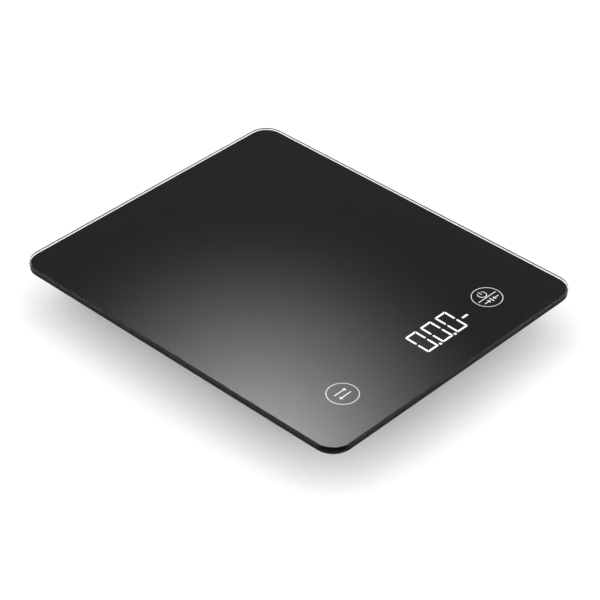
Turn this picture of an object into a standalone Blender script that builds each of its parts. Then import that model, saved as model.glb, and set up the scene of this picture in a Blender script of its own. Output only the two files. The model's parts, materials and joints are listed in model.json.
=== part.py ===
"""A slim digital kitchen scale with a glass platform, made as an assembly of separate pieces.

Units are metres. +X is to the user's right, +Y is away from the user and +Z is up.
The origin is at the centre of the footprint, on the surface that the four feet stand on.
Every piece that carries the load upwards is stacked on the one below it with a small gap.
"""

import math

import bmesh
import bpy
from mathutils import Vector

MM = 0.001
GAP = 0.3 * MM  # left between pieces that touch
EMBED = 0.4 * MM  # how far a rib or boss reaches into the wall that it grows from

# Glass platform
PLATE_WIDTH = 180 * MM
PLATE_DEPTH = 220 * MM
PLATE_THICKNESS = 2.1 * MM
PLATE_CORNER_RADIUS = 11 * MM
EDGE_RUN = 0.25 * MM  # how far the plate's rounded edge reaches in from its side
EDGE_STEPS = 8
FILM_INSET = 0.85 * MM
FILM_THICKNESS = 0.1 * MM
TAPE_THICKNESS = 0.4 * MM
TAPE_WIDTH = 2.8 * MM
TAPE_INSET = 0.5 * MM  # from the housing's side

# Housing, a tray whose walls slope outwards and then stand upright
FLOOR_Z = 2 * MM
FLOOR_THICKNESS = 1.4 * MM
WALL_THICKNESS = 1.8 * MM
SLOPE_TOP_Z = 8 * MM
RIM_Z = 15.8 * MM
HOUSING_INSET = 12 * MM
SLOPE_RUN = 8 * MM
HOUSING_CORNER_RADIUS = 16 * MM
FRAME_THICKNESS = 1.9 * MM
FLANGE_INSET = 0.15 * MM  # from the plate's side
FLANGE_THICKNESS = 1.3 * MM
FRAME_LIP_DEPTH = 2 * MM
FRAME_LIP_THICKNESS = 1.2 * MM

# Feet and the strain gauge cells above them
FOOT_X = 54 * MM
FOOT_Y = 62 * MM
PAD_RADIUS = 8 * MM
PAD_HEIGHT = 2.2 * MM
CUP_RADIUS = 9.1 * MM
CUP_FLANGE_RADIUS = 11 * MM
CUP_BOSS_RADIUS = 3 * MM
FOOT_HOLE_RADIUS = 9.5 * MM
FOOT_TRAVEL = 0.5 * MM  # how far a foot drops when the scale is lifted
CELL_LENGTH = 30 * MM
CELL_WIDTH = 26 * MM
CELL_THICKNESS = 1 * MM
CELL_SLOT = 1.4 * MM
RAIL_WIDTH = 2.8 * MM
BRACKET_WALL = 2.5 * MM
TONGUE_ROOT = 5.5 * MM  # from the foot's axis to the gauge on the tongue's root
HARNESS_RADIUS = 0.8 * MM

# Batteries, size AAA, and their bay
BATTERY_RADIUS = 5.25 * MM
BATTERY_LENGTH = 44.5 * MM
BATTERY_PITCH = 11.2 * MM
BATTERY_COUNT = 3
BAY_CENTRE_Y = 36 * MM
BAY_HALF_LENGTH = 26.8 * MM
BAY_HALF_WIDTH = 18 * MM
BAY_WALL = 1.2 * MM
DOOR_THICKNESS = 1.2 * MM
TAB_REACH = 1.5 * MM
TAB_WIDTH = 6 * MM
TAB_X = 15 * MM
LEAD_RADIUS = 0.65 * MM
LEAD_EXIT_Z = 10 * MM

# Keys and display, as laid out on the platform
UNIT_KEY = (-54.3 * MM, -82.2 * MM)
TARE_KEY = (52.0 * MM, -82.6 * MM)
KEY_HOLE_RADIUS = 4.2 * MM
DIGIT_COUNT = 4
DIGIT_PITCH = 11.05 * MM
DIGIT_WIDTH = 8.7 * MM
DIGIT_HEIGHT = 17.1 * MM
DIGIT_STROKE = 1.6 * MM
SEGMENT_GAP = 0.25 * MM
FIRST_DIGIT_X = -9.0 * MM
DISPLAY_Y = -83.1 * MM
DISPLAY_LOW = (-15.5 * MM, -92.3 * MM)
DISPLAY_HIGH = (37.5 * MM, -72.3 * MM)

# Circuit board
PCB_THICKNESS = 1 * MM
PCB_Z = 10.2 * MM
PCB_OUTLINE = (
    (-64 * MM, -95 * MM),
    (63 * MM, -95 * MM),
    (63 * MM, -77.2 * MM),
    (38.4 * MM, -77.2 * MM),
    (38.4 * MM, -71.5 * MM),
    (-17 * MM, -71.5 * MM),
    (-17 * MM, -77.2 * MM),
    (-64 * MM, -77.2 * MM),
)
PCB_SCREW_SPOTS = ((-43 * MM, -87 * MM), (-26 * MM, -87 * MM), (42.5 * MM, -87 * MM))
PCB_HOLE_RADIUS = 1.35 * MM
PCB_POST_RADIUS = 2.6 * MM

# Screws that close the housing
SCREW_SPOTS = (
    (-62 * MM, 0),
    (62 * MM, 0),
    (-22 * MM, -66 * MM),
    (22 * MM, -66 * MM),
    (-22 * MM, 78 * MM),
    (22 * MM, 78 * MM),
)
SCREW_RADIUS = 1.25 * MM
SCREW_HEAD_RADIUS = 2.4 * MM
SCREW_HEAD_Z = 2.5 * MM
SCREW_HEAD_TOP_Z = 4.3 * MM
SCREW_TIP_Z = 12.5 * MM
BOSS_RADIUS = 3.5 * MM
BOSS_TOP_Z = 8 * MM

# Stiffening ribs under the upper frame
RIB_X = 46 * MM
RIB_HALF_LENGTH = 46 * MM
RIB_HALF_THICKNESS = 0.6 * MM
RIB_DEPTH = 3 * MM

ROUND_STEPS = 24
BOSS_STEPS = 12
CORNER_STEPS = 6

# Heights that follow from the stack
FLOOR_TOP_Z = FLOOR_Z + FLOOR_THICKNESS
BATTERY_Z = FLOOR_Z + DOOR_THICKNESS + GAP + BATTERY_RADIUS
FRAME_Z = RIM_Z + GAP
FRAME_TOP_Z = FRAME_Z + FRAME_THICKNESS
TAPE_Z = FRAME_TOP_Z - TAPE_THICKNESS
FILM_Z = FRAME_TOP_Z + GAP
PLATE_Z = FILM_Z + FILM_THICKNESS + GAP
CUP_FLANGE_Z = FLOOR_TOP_Z + FOOT_TRAVEL + GAP
CUP_FLANGE_TOP_Z = CUP_FLANGE_Z + 0.8 * MM
CUP_BOSS_TOP_Z = CUP_FLANGE_TOP_Z + 1.0 * MM
CELL_Z = CUP_BOSS_TOP_Z + GAP
CELL_TOP_Z = CELL_Z + CELL_THICKNESS
GAUGE_Z = CELL_TOP_Z + GAP
BRACKET_Z = CELL_TOP_Z + GAP
HARNESS_EXIT_Z = BRACKET_Z + 1.2 * MM
PCB_TOP_Z = PCB_Z + PCB_THICKNESS
BAY_LOW_Y = BAY_CENTRE_Y - BAY_HALF_WIDTH
BAY_HIGH_Y = BAY_CENTRE_Y + BAY_HALF_WIDTH
HOUSING_HALF_X = PLATE_WIDTH / 2 - HOUSING_INSET
HOUSING_HALF_Y = PLATE_DEPTH / 2 - HOUSING_INSET

CORNERS = {
    "front_left": (-1, -1),
    "front_right": (1, -1),
    "rear_left": (-1, 1),
    "rear_right": (1, 1),
}


# Basic solids


def rounded_outline(half_x, half_y, radius):
    """Points of a rectangle with round corners, anticlockwise from the right-hand side."""
    points = []
    for quarter, (side_x, side_y) in enumerate(((1, 1), (-1, 1), (-1, -1), (1, -1))):
        for step in range(CORNER_STEPS + 1):
            angle = math.pi / 2 * (quarter + step / CORNER_STEPS)
            x = side_x * (half_x - radius) + radius * math.cos(angle)
            y = side_y * (half_y - radius) + radius * math.sin(angle)
            points.append((x, y))
    return points


def circle_outline(x, y, radius, steps=ROUND_STEPS):
    turns = [2 * math.pi * step / steps for step in range(steps)]
    return [(x + radius * math.cos(turn), y + radius * math.sin(turn)) for turn in turns]


def box_outline(low, high):
    return [(low[0], low[1]), (high[0], low[1]), (high[0], high[1]), (low[0], high[1])]


def bridge_rings(bm, rings):
    """Join each ring of vertices to the next one, and close the first and the last."""
    for lower, upper in zip(rings, rings[1:]):
        count = len(lower)
        for i in range(count):
            j = (i + 1) % count
            bm.faces.new((lower[i], lower[j], upper[j], upper[i]))
    bm.faces.new(tuple(reversed(rings[0])))
    bm.faces.new(tuple(rings[-1]))


def add_stack(bm, levels):
    """A solid whose outline passes through each (outline, height) in turn."""
    rings = [[bm.verts.new((x, y, z)) for x, y in outline] for outline, z in levels]
    bridge_rings(bm, rings)


def add_prism(bm, outline, low_z, high_z):
    add_stack(bm, [(outline, low_z), (outline, high_z)])


def add_band(bm, outer, inner, low_z, high_z):
    """A flat closed band between two outlines that have the same number of points."""
    loops = [
        [bm.verts.new((x, y, z)) for x, y in outline]
        for outline, z in ((outer, low_z), (outer, high_z), (inner, high_z), (inner, low_z))
    ]
    count = len(outer)
    for here, there in zip(loops, loops[1:] + loops[:1]):
        for i in range(count):
            j = (i + 1) % count
            bm.faces.new((here[i], here[j], there[j], there[i]))


def add_box(bm, low, high):
    add_prism(bm, box_outline(low, high), low[2], high[2])


def add_turned(bm, profile, x=0.0, y=0.0, steps=ROUND_STEPS):
    """A solid turned about a vertical axis, from (radius, height) pairs given from bottom to top."""
    add_stack(bm, [(circle_outline(x, y, radius, steps), z) for radius, z in profile])


def add_sideways_prism(bm, section, low_y, high_y):
    """A prism along Y whose section is a clockwise list of (x, z)."""
    rings = [[bm.verts.new((x, y, z)) for x, z in section] for y in (low_y, high_y)]
    bridge_rings(bm, rings)


def add_lengthways_prism(bm, section, low_x, high_x):
    """A prism along X whose section is a list of (y, z)."""
    rings = [[bm.verts.new((x, y, z)) for y, z in section] for x in (low_x, high_x)]
    bridge_rings(bm, rings)


def strip_section(points, thickness):
    """The closed section of a bent strip of even thickness that follows points."""
    left, right = [], []
    for i, point in enumerate(points):
        before = Vector(points[max(i - 1, 0)])
        after = Vector(points[min(i + 1, len(points) - 1)])
        along = (after - before).normalized()
        across = Vector((-along.y, along.x)) * thickness / 2
        left.append(tuple(Vector(point) + across))
        right.append(tuple(Vector(point) - across))
    return left + right[::-1]


# Objects, materials and parenting


def make_material(name, colour, roughness, metallic=0.0, transmission=0.0):
    material = bpy.data.materials.new(name)
    material.use_nodes = True
    shader = material.node_tree.nodes["Principled BSDF"]
    shader.inputs["Base Color"].default_value = (*colour, 1.0)
    shader.inputs["Roughness"].default_value = roughness
    shader.inputs["Metallic"].default_value = metallic
    shader.inputs["Transmission Weight"].default_value = transmission
    return material


def make_object(name, data, material=None, parent=None, location=(0, 0, 0)):
    piece = bpy.data.objects.new(name, data)
    bpy.context.scene.collection.objects.link(piece)
    piece.location = location
    piece.parent = parent
    if material:
        piece.data.materials.append(material)
    return piece


def mesh_from(bm, name):
    bmesh.ops.recalc_face_normals(bm, faces=bm.faces)
    mesh = bpy.data.meshes.new(name)
    bm.to_mesh(mesh)
    bm.free()
    return mesh


def build_mesh(name, draw):
    """A mesh named name, drawn by calling draw on an empty bmesh."""
    bm = bmesh.new()
    draw(bm)
    return mesh_from(bm, name)


def carve(mesh, operation, draw):
    """The mesh joined with, or cut by, the closed shapes that draw makes."""
    body = make_object("carve_body", mesh)
    tool = make_object("carve_tool", build_mesh("carve_tool", draw))
    boolean = body.modifiers.new("boolean", "BOOLEAN")
    boolean.operation = operation
    boolean.object = tool
    evaluated = body.evaluated_get(bpy.context.evaluated_depsgraph_get())
    result = bpy.data.meshes.new_from_object(evaluated)
    result.name = mesh.name
    for leftover in (body, tool):
        bpy.data.objects.remove(leftover)
    return result


def shade_round(mesh):
    mesh.shade_smooth()
    mesh.set_sharp_from_angle(angle=math.radians(35))


def make_empty(name, location=(0, 0, 0), parent=None):
    empty = make_object(name, None, parent=parent, location=location)
    empty.empty_display_size = 0.01
    return empty


def smooth_path(points, spacing):
    """Points along a smooth curve through points, about spacing apart."""
    knots = [Vector(point) for point in points]
    ends = [2 * knots[0] - knots[1], *knots, 2 * knots[-1] - knots[-2]]
    path = []
    for a, b, c, d in zip(ends, ends[1:], ends[2:], ends[3:]):
        steps = max(1, round((c - b).length / spacing))
        for step in range(steps):
            t = step / steps
            slope_in = (c - a) / 2
            slope_out = (d - b) / 2
            path.append(
                (2 * t**3 - 3 * t**2 + 1) * b
                + (t**3 - 2 * t**2 + t) * slope_in
                + (3 * t**2 - 2 * t**3) * c
                + (t**3 - t**2) * slope_out
            )
    return [*path, knots[-1]]


def make_tube(name, path, radius, material, parent, bevel_resolution=2):
    curve = bpy.data.curves.new(name, "CURVE")
    curve.dimensions = "3D"
    curve.bevel_depth = radius
    curve.bevel_resolution = bevel_resolution
    curve.use_fill_caps = True
    spline = curve.splines.new("POLY")
    spline.points.add(len(path) - 1)
    for spot, point in zip(spline.points, path):
        spot.co = (*point, 1.0)
    return make_object(name, curve, material, parent)


# Glass platform and what is bonded under it


def plate_outline(inset):
    return rounded_outline(
        PLATE_WIDTH / 2 - inset, PLATE_DEPTH / 2 - inset, PLATE_CORNER_RADIUS - inset
    )


def make_platform(body):
    """The plate, whose edge is rounded from its underside to its top, and the film under it."""
    half = PLATE_THICKNESS / 2
    levels = []
    for step in range(EDGE_STEPS + 1):
        angle = math.pi * (step / EDGE_STEPS - 0.5)
        inset = EDGE_RUN * (1 - math.cos(angle))
        levels.append((plate_outline(inset), PLATE_Z + half + half * math.sin(angle)))
    glass = make_material("clear_glass", (0.85, 0.9, 0.88), 0.03, transmission=1.0)
    make_object(
        "glass_platform", build_mesh("glass_platform", lambda bm: add_stack(bm, levels)), glass, body
    )

    film = make_material("black_film", (0.02, 0.02, 0.02), 0.4)
    outline = plate_outline(FILM_INSET)
    mesh = build_mesh(
        "backing_film", lambda bm: add_prism(bm, outline, FILM_Z, FILM_Z + FILM_THICKNESS)
    )
    make_object("backing_film", mesh, film, body)


def housing_outline(inset):
    return rounded_outline(
        HOUSING_HALF_X - inset, HOUSING_HALF_Y - inset, HOUSING_CORNER_RADIUS - inset
    )


def add_tape(bm, slack, low_z, high_z):
    """The closed loop of tape, or the groove that it lies in where slack is more than nothing."""
    outer = housing_outline(TAPE_INSET - slack)
    inner = housing_outline(TAPE_INSET + TAPE_WIDTH + slack)
    add_band(bm, outer, inner, low_z, high_z)


def make_tape(body):
    mesh = build_mesh("bonding_tape", lambda bm: add_tape(bm, 0, TAPE_Z, FRAME_TOP_Z))
    foam = make_material("black_foam", (0.03, 0.03, 0.03), 0.9)
    make_object("bonding_tape", mesh, foam, body)


# Upper frame


def add_frame_towers(bm):
    """Bosses for the housing screws, posts for the board screws, and two stiffening ribs."""
    for x, y in SCREW_SPOTS:
        low_z = BOSS_TOP_Z + GAP
        boss = circle_outline(x, y, BOSS_RADIUS - 0.5 * MM, BOSS_STEPS)
        add_prism(bm, boss, low_z, FRAME_Z + EMBED)
    for x, y in PCB_SCREW_SPOTS:
        post = circle_outline(x, y, PCB_POST_RADIUS, BOSS_STEPS)
        add_prism(bm, post, PCB_TOP_Z + GAP, FRAME_Z + EMBED)
    for side in (-1, 1):
        x = side * RIB_X
        low = (x - RIB_HALF_THICKNESS, -RIB_HALF_LENGTH, FRAME_Z - RIB_DEPTH)
        high = (x + RIB_HALF_THICKNESS, RIB_HALF_LENGTH, FRAME_Z + EMBED)
        add_box(bm, low, high)


def add_frame_openings(bm):
    """The display window, the key holes, the screw holes and the groove for the tape."""
    low_z = FRAME_Z - 1 * MM
    high_z = FRAME_TOP_Z + 1 * MM
    window_low = (DISPLAY_LOW[0] - GAP, DISPLAY_LOW[1] - GAP)
    window_high = (DISPLAY_HIGH[0] + GAP, DISPLAY_HIGH[1] + GAP)
    add_prism(bm, box_outline(window_low, window_high), low_z, high_z)
    for x, y in (UNIT_KEY, TARE_KEY):
        add_prism(bm, circle_outline(x, y, KEY_HOLE_RADIUS), low_z, high_z)
    for x, y in SCREW_SPOTS:
        hole = circle_outline(x, y, SCREW_RADIUS + GAP, BOSS_STEPS)
        add_prism(bm, hole, BOSS_TOP_Z, SCREW_TIP_Z + GAP)
    for x, y in PCB_SCREW_SPOTS:
        hole = circle_outline(x, y, PCB_HOLE_RADIUS, BOSS_STEPS)
        add_prism(bm, hole, PCB_TOP_Z, FRAME_Z - 0.4 * MM)
    add_tape(bm, GAP, TAPE_Z - GAP, high_z)


def make_upper_frame(body):
    """A panel on the housing's rim, with a lip inside the rim and a thin flange under the glass."""
    lip_gap = WALL_THICKNESS + 2 * GAP
    lip_outer = housing_outline(lip_gap)
    lip_inner = housing_outline(lip_gap + FRAME_LIP_THICKNESS)
    edge = housing_outline(0)
    lip_z = FRAME_Z - FRAME_LIP_DEPTH
    flange = plate_outline(FLANGE_INSET)
    flange_z = FRAME_TOP_Z - FLANGE_THICKNESS
    levels = [
        (flange, FRAME_TOP_Z),
        (flange, flange_z),
        (edge, flange_z),
        (edge, FRAME_Z),
        (lip_outer, FRAME_Z),
        (lip_outer, lip_z),
        (lip_inner, lip_z),
        (lip_inner, FRAME_Z),
    ]
    mesh = build_mesh("upper_frame", lambda bm: add_stack(bm, levels))
    mesh = carve(mesh, "UNION", add_frame_towers)
    mesh = carve(mesh, "DIFFERENCE", add_frame_openings)
    plastic = make_material("inner_plastic", (0.6, 0.6, 0.6), 0.5)
    make_object("upper_frame", mesh, plastic, body)


# Lower housing


def housing_levels():
    """The tray's section, from its underside, up the outside, over the rim and down the inside."""
    outer_foot = housing_outline(SLOPE_RUN)
    rise = (FLOOR_TOP_Z - FLOOR_Z) / (SLOPE_TOP_Z - FLOOR_Z)
    inner_foot = housing_outline(SLOPE_RUN * (1 - rise) + WALL_THICKNESS)
    outer = housing_outline(0)
    inner = housing_outline(WALL_THICKNESS)
    return [
        (outer_foot, FLOOR_Z),
        (outer, SLOPE_TOP_Z),
        (outer, RIM_Z),
        (inner, RIM_Z),
        (inner, SLOPE_TOP_Z),
        (inner_foot, FLOOR_TOP_Z),
    ]


def foot_spots():
    return [(side_x * FOOT_X, side_y * FOOT_Y) for side_x, side_y in CORNERS.values()]


def add_housing_towers(bm):
    """Screw bosses, the rails that the cells rest on, and the block that becomes the bay."""
    low_z = FLOOR_TOP_Z - EMBED
    for x, y in SCREW_SPOTS:
        add_prism(bm, circle_outline(x, y, BOSS_RADIUS, BOSS_STEPS), low_z, BOSS_TOP_Z)
    for x, y in foot_spots():
        for side in (-1, 1):
            middle = x + side * (CELL_LENGTH - RAIL_WIDTH) / 2
            low = (middle - RAIL_WIDTH / 2, y - CELL_WIDTH / 2, low_z)
            high = (middle + RAIL_WIDTH / 2, y + CELL_WIDTH / 2, CELL_Z - GAP)
            add_box(bm, low, high)
    low = (-BAY_HALF_LENGTH - BAY_WALL, BAY_LOW_Y - BAY_WALL, low_z)
    high = (BAY_HALF_LENGTH + BAY_WALL, BAY_HIGH_Y + BAY_WALL, RIM_Z - GAP)
    add_box(bm, low, high)


def add_housing_openings(bm):
    """The bay, the foot holes, the screw holes with their counterbores and a label recess."""
    below = FLOOR_Z - 1 * MM
    low = (-BAY_HALF_LENGTH, BAY_LOW_Y, below)
    high = (BAY_HALF_LENGTH, BAY_HIGH_Y, RIM_Z + 1 * MM)
    add_box(bm, low, high)
    for x, y in foot_spots():
        add_prism(bm, circle_outline(x, y, FOOT_HOLE_RADIUS), below, FLOOR_TOP_Z + 1 * MM)
    for x, y in SCREW_SPOTS:
        bore = [
            (SCREW_HEAD_RADIUS + 0.4 * MM, below),
            (SCREW_HEAD_RADIUS + 0.4 * MM, SCREW_HEAD_TOP_Z + GAP),
            (SCREW_RADIUS + 0.35 * MM, SCREW_HEAD_TOP_Z + GAP),
            (SCREW_RADIUS + 0.35 * MM, BOSS_TOP_Z + 1 * MM),
        ]
        add_turned(bm, bore, x, y, 16)
    recess_top = FLOOR_Z + 0.3 * MM
    add_box(bm, (-28 * MM, -48 * MM, below), (28 * MM, -14 * MM, recess_top))


def add_bay_slots(bm):
    """Slots for the door's tabs, and notches for the battery leads."""
    clearance = 2 * GAP
    for side in (-1, 1):
        x = side * TAB_X
        half = TAB_WIDTH / 2 + GAP
        low = (x - half, BAY_LOW_Y - BAY_WALL - 1 * MM, FLOOR_TOP_Z)
        high = (x + half, BAY_LOW_Y + 0.5 * MM, FLOOR_TOP_Z + 2.4 * MM)
        add_box(bm, low, high)
    for side, y in ((1, battery_y(0)), (-1, battery_y(2))):
        inner = side * (BAY_HALF_LENGTH - 0.5 * MM)
        outer = side * (BAY_HALF_LENGTH + BAY_WALL + 0.5 * MM)
        half = LEAD_RADIUS + clearance
        low = (min(inner, outer), y - half, LEAD_EXIT_Z - half)
        high = (max(inner, outer), y + half, RIM_Z)
        add_box(bm, low, high)


def make_lower_housing(body):
    mesh = build_mesh("lower_housing", lambda bm: add_stack(bm, housing_levels()))
    mesh = carve(mesh, "UNION", add_housing_towers)
    mesh = carve(mesh, "DIFFERENCE", add_housing_openings)
    mesh = carve(mesh, "DIFFERENCE", add_bay_slots)
    plastic = make_material("black_plastic", (0.03, 0.03, 0.03), 0.45)
    make_object("lower_housing", mesh, plastic, body)


# Feet, cells and brackets

def foot_meshes():
    """The cup that carries the load to the cell, and the rubber pad held in its recess."""
    rim_z = 1.2 * MM
    recess_z = PAD_HEIGHT + GAP
    cup = [
        (PAD_RADIUS + GAP, recess_z),
        (PAD_RADIUS + GAP, rim_z),
        (CUP_RADIUS, rim_z),
        (CUP_RADIUS, CUP_FLANGE_Z),
        (CUP_FLANGE_RADIUS, CUP_FLANGE_Z),
        (CUP_FLANGE_RADIUS, CUP_FLANGE_TOP_Z),
        (CUP_BOSS_RADIUS, CUP_FLANGE_TOP_Z),
        (CUP_BOSS_RADIUS, CUP_BOSS_TOP_Z - 0.3 * MM),
        (CUP_BOSS_RADIUS - 0.5 * MM, CUP_BOSS_TOP_Z),
    ]
    edge = 0.5 * MM
    pad = [
        (PAD_RADIUS - edge, 0),
        (PAD_RADIUS - 0.15 * MM, 0.15 * MM),
        (PAD_RADIUS, edge),
        (PAD_RADIUS, PAD_HEIGHT),
    ]
    cup_mesh = build_mesh("foot_cup", lambda bm: add_turned(bm, cup))
    pad_mesh = build_mesh("foot_pad", lambda bm: add_turned(bm, pad))
    for mesh in (cup_mesh, pad_mesh):
        shade_round(mesh)
    return cup_mesh, pad_mesh


def add_cell_slot(bm):
    """A U-shaped slot that leaves a tongue joined to the plate at its inner end."""
    low_z = -1 * MM
    high_z = CELL_THICKNESS + 1 * MM
    half_length = 10.5 * MM
    half_width = 6.5 * MM
    section = [
        (-half_length, -half_width),
        (half_length, -half_width),
        (half_length, half_width),
        (-half_length, half_width),
        (-half_length, half_width - CELL_SLOT),
        (half_length - CELL_SLOT, half_width - CELL_SLOT),
        (half_length - CELL_SLOT, CELL_SLOT - half_width),
        (-half_length, CELL_SLOT - half_width),
    ]
    add_prism(bm, section, low_z, high_z)


def cell_mesh():
    outline = rounded_outline(CELL_LENGTH / 2, CELL_WIDTH / 2, 2 * MM)
    mesh = build_mesh("load_cell", lambda bm: add_prism(bm, outline, 0, CELL_THICKNESS))
    return carve(mesh, "DIFFERENCE", add_cell_slot)


def bracket_mesh():
    """A cap over the cell, hollow below, with a notch at -X for the cell's wires."""
    half_x = CELL_LENGTH / 2
    half_y = CELL_WIDTH / 2
    height = RIM_Z - BRACKET_Z
    roof = 1.2 * MM
    outer = rounded_outline(half_x, half_y, 2.5 * MM)
    inner = rounded_outline(half_x - BRACKET_WALL, half_y - BRACKET_WALL, 1 * MM)
    levels = [(outer, height), (outer, 0), (inner, 0), (inner, height - roof)]
    mesh = build_mesh("cell_bracket", lambda bm: add_stack(bm, levels))
    notch = HARNESS_RADIUS + 0.5 * MM
    low = (-half_x - 1 * MM, -notch, -1 * MM)
    high = (-half_x + BRACKET_WALL + 0.5 * MM, notch, HARNESS_EXIT_Z - BRACKET_Z + notch)
    return carve(mesh, "DIFFERENCE", lambda bm: add_box(bm, low, high))


def gauge_mesh():
    """The coated strain gauge at the root of the cell's tongue."""
    outline = rounded_outline(3.5 * MM, 2.6 * MM, 0.8 * MM)
    return build_mesh("strain_gauge", lambda bm: add_prism(bm, outline, 0, 0.5 * MM))


def make_feet(body):
    rubber = make_material("foot_rubber", (0.05, 0.05, 0.05), 0.85)
    plastic = make_material("cup_plastic", (0.06, 0.06, 0.06), 0.5)
    steel = make_material("cell_steel", (0.6, 0.6, 0.6), 0.35, 1.0)
    white = make_material("bracket_plastic", (0.75, 0.75, 0.73), 0.5)
    coating = make_material("gauge_coating", (0.8, 0.8, 0.78), 0.5)
    cup, pad = foot_meshes()
    cup.materials.append(plastic)
    pad.materials.append(rubber)
    cell, bracket, gauge = cell_mesh(), bracket_mesh(), gauge_mesh()
    cell.materials.append(steel)
    bracket.materials.append(white)
    gauge.materials.append(coating)
    for corner, (side_x, side_y) in CORNERS.items():
        x, y = side_x * FOOT_X, side_y * FOOT_Y
        foot = make_empty(f"foot_{corner}", (x, y, 0), body)
        make_object(f"foot_cup_{corner}", cup, parent=foot)
        make_object(f"foot_pad_{corner}", pad, parent=foot)
        facing = math.pi if side_x < 0 else 0.0
        fixed = (
            make_object(f"load_cell_{corner}", cell, parent=body, location=(x, y, CELL_Z)),
            make_object(f"cell_bracket_{corner}", bracket, parent=body, location=(x, y, BRACKET_Z)),
            make_object(
                f"strain_gauge_{corner}",
                gauge,
                parent=body,
                location=(x - side_x * TONGUE_ROOT, y, GAUGE_Z),
            ),
        )
        for piece in fixed:
            piece.rotation_euler.z = facing


# Batteries, contacts and door


def battery_y(index):
    return BAY_CENTRE_Y + (index - (BATTERY_COUNT - 1) / 2) * BATTERY_PITCH


def make_batteries(body):
    """Cells on their sides, with every second one turned round."""
    half = BATTERY_LENGTH / 2
    nub = 0.9 * MM
    edge = 0.3 * MM
    profile = [
        (BATTERY_RADIUS - edge, -half),
        (BATTERY_RADIUS, edge - half),
        (BATTERY_RADIUS, half - nub - edge),
        (BATTERY_RADIUS - edge, half - nub),
        (1.9 * MM, half - nub),
        (1.9 * MM, half),
    ]
    mesh = build_mesh("battery", lambda bm: add_turned(bm, profile, steps=20))
    shade_round(mesh)
    mesh.materials.append(make_material("battery_jacket", (0.35, 0.36, 0.38), 0.35, 0.6))
    for index in range(BATTERY_COUNT):
        spot = (0, battery_y(index), BATTERY_Z)
        piece = make_object(f"battery_{index + 1}", mesh, parent=body, location=spot)
        towards = 1 if index % 2 == 0 else -1
        piece.rotation_euler.y = towards * math.pi / 2


def contact_mesh(name, side, first, last):
    """A nickel plate at one end of the bay, with a springy leaf for each cell from first to last."""
    thickness = 0.4 * MM
    half_height = 4.4 * MM
    plate_x = side * (BAY_HALF_LENGTH - 1.2 * MM)
    tip_x = side * (BATTERY_LENGTH / 2 + GAP + thickness / 2)
    free_x = side * (BATTERY_LENGTH / 2 + 1.4 * MM)
    low = (plate_x - thickness / 2, battery_y(first) - 4.2 * MM, BATTERY_Z - half_height)
    high = (plate_x + thickness / 2, battery_y(last) + 4.2 * MM, BATTERY_Z + half_height)
    leaf = [
        (plate_x, BATTERY_Z - 3.8 * MM),
        (tip_x, BATTERY_Z - 0.5 * MM),
        (tip_x, BATTERY_Z + 0.5 * MM),
        (free_x, BATTERY_Z + 2.2 * MM),
    ]
    section = strip_section(leaf, thickness)

    def add_leaves(bm):
        for index in range(first, last + 1):
            y = battery_y(index)
            add_sideways_prism(bm, section, y - 1.8 * MM, y + 1.8 * MM)

    mesh = build_mesh(name, lambda bm: add_box(bm, low, high))
    return carve(mesh, "UNION", add_leaves)


def make_contacts(body):
    nickel = make_material("nickel_plate", (0.7, 0.69, 0.66), 0.25, 1.0)
    contacts = (
        ("contact_plus", 1, 0, 0),
        ("contact_bridge_right", 1, 1, 2),
        ("contact_bridge_left", -1, 0, 1),
        ("contact_minus", -1, 2, 2),
    )
    for name, side, first, last in contacts:
        make_object(name, contact_mesh(name, side, first, last), nickel, body)


def add_door_tabs(bm):
    """Two tabs that hook over the housing floor."""
    root = DOOR_THICKNESS - EMBED
    tab_low = FLOOR_THICKNESS + GAP
    tab_high = tab_low + 0.8 * MM
    tip_y = -TAB_REACH - GAP
    riser_y = 0.9 * MM
    section = [
        (0.1 * MM, root),
        (riser_y, root),
        (riser_y, tab_high),
        (tip_y, tab_high),
        (tip_y, tab_low),
        (0.1 * MM, tab_low),
    ]
    for side in (-1, 1):
        x = side * TAB_X
        add_lengthways_prism(bm, section, x - TAB_WIDTH / 2, x + TAB_WIDTH / 2)


def add_door_latch(bm):
    """The blade of the latch, which stands up inside the bay."""
    far = 2 * BAY_HALF_WIDTH - 2 * GAP
    low = (-5 * MM, far - 0.9 * MM, DOOR_THICKNESS - EMBED)
    high = (5 * MM, far - 0.1 * MM, DOOR_THICKNESS + 1.4 * MM)
    add_box(bm, low, high)


def add_door_recesses(bm):
    """A finger recess by the latch and three grip grooves beside it."""
    far = 2 * BAY_HALF_WIDTH - 2 * GAP
    low = (-7 * MM, far - 5.5 * MM, -1 * MM)
    high = (7 * MM, far - 1.6 * MM, 0.6 * MM)
    add_box(bm, low, high)
    for groove in range(3):
        y = far - (8 + 1.8 * groove) * MM
        add_box(bm, (-9 * MM, y - 0.4 * MM, -1 * MM), (9 * MM, y + 0.4 * MM, 0.4 * MM))


def make_door(body):
    """The door turns about its outer edge on the side nearest the user."""
    hinge = make_empty("battery_door_hinge", (0, BAY_LOW_Y + GAP, FLOOR_Z), body)
    half = BAY_HALF_LENGTH - GAP
    far = 2 * BAY_HALF_WIDTH - 2 * GAP
    mesh = build_mesh(
        "battery_door", lambda bm: add_box(bm, (-half, 0, 0), (half, far, DOOR_THICKNESS))
    )
    mesh = carve(mesh, "UNION", add_door_tabs)
    mesh = carve(mesh, "UNION", add_door_latch)
    mesh = carve(mesh, "DIFFERENCE", add_door_recesses)
    plastic = make_material("door_plastic", (0.035, 0.035, 0.035), 0.45)
    make_object("battery_door", mesh, plastic, hinge)


# Circuit board, display and touch springs


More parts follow.
